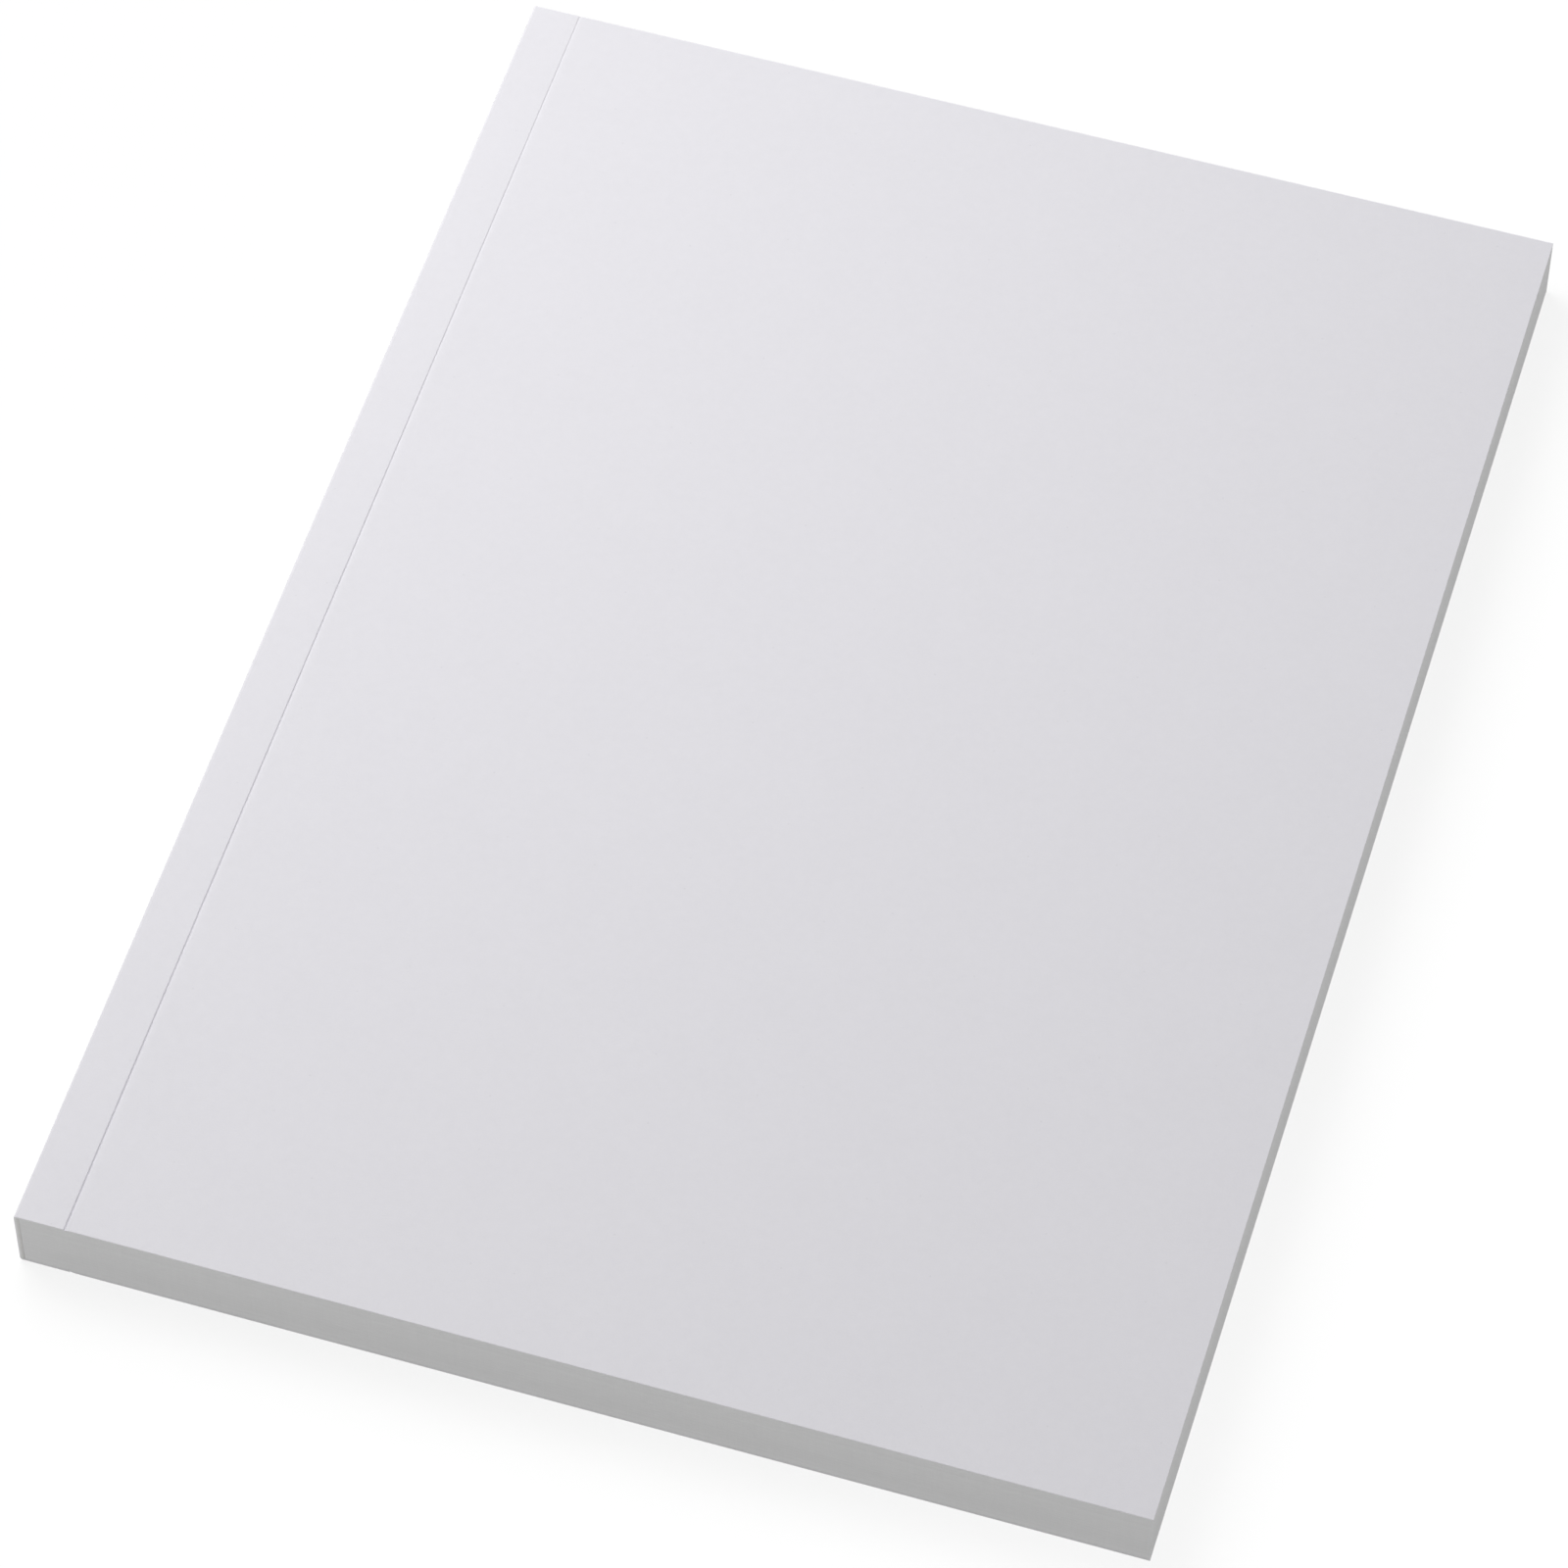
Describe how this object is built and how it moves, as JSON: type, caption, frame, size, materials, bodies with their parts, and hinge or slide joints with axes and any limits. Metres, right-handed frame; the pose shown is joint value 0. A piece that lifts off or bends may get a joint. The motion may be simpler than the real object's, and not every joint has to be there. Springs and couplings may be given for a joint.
{
  "type": "softcover notebook",
  "caption": "Closed blank notebook with a flat glued spine, trimmed leaves and one wrapped card cover whose front and back open at a crease beside the spine.",
  "frame": {"origin": "middle of the closed book's footprint, on the plane that its back cover rests on", "axes": "+X from the spine to the fore edge, +Y from the tail to the head, +Z from the back cover to the front cover"},
  "size_m": [0.148, 0.21, 0.0103],
  "materials": {
    "cover_card": "matte",
    "page_paper": "matte",
    "binding_glue": "satin"
  },
  "bodies": {
    "block": {"page_block": "page_paper", "spine_glue": "binding_glue", "front_side_glue": "binding_glue", "back_side_glue": "binding_glue", "spine_cover": "cover_card"},
    "front_cover": {"front_cover": "cover_card"},
    "back_cover": {"back_cover": "cover_card"}
  },
  "joints": [
    {"name": "front_hinge", "type": "hinge", "parent": "block", "child": "front_cover", "pos_m": [-0.0674, 0, 0.0103], "axis": [0, -1, 0], "range_deg": [0, 175]},
    {"name": "back_hinge", "type": "hinge", "parent": "block", "child": "back_cover", "pos_m": [-0.0674, 0, 0], "axis": [0, 1, 0], "range_deg": [0, 175]}
  ]
}
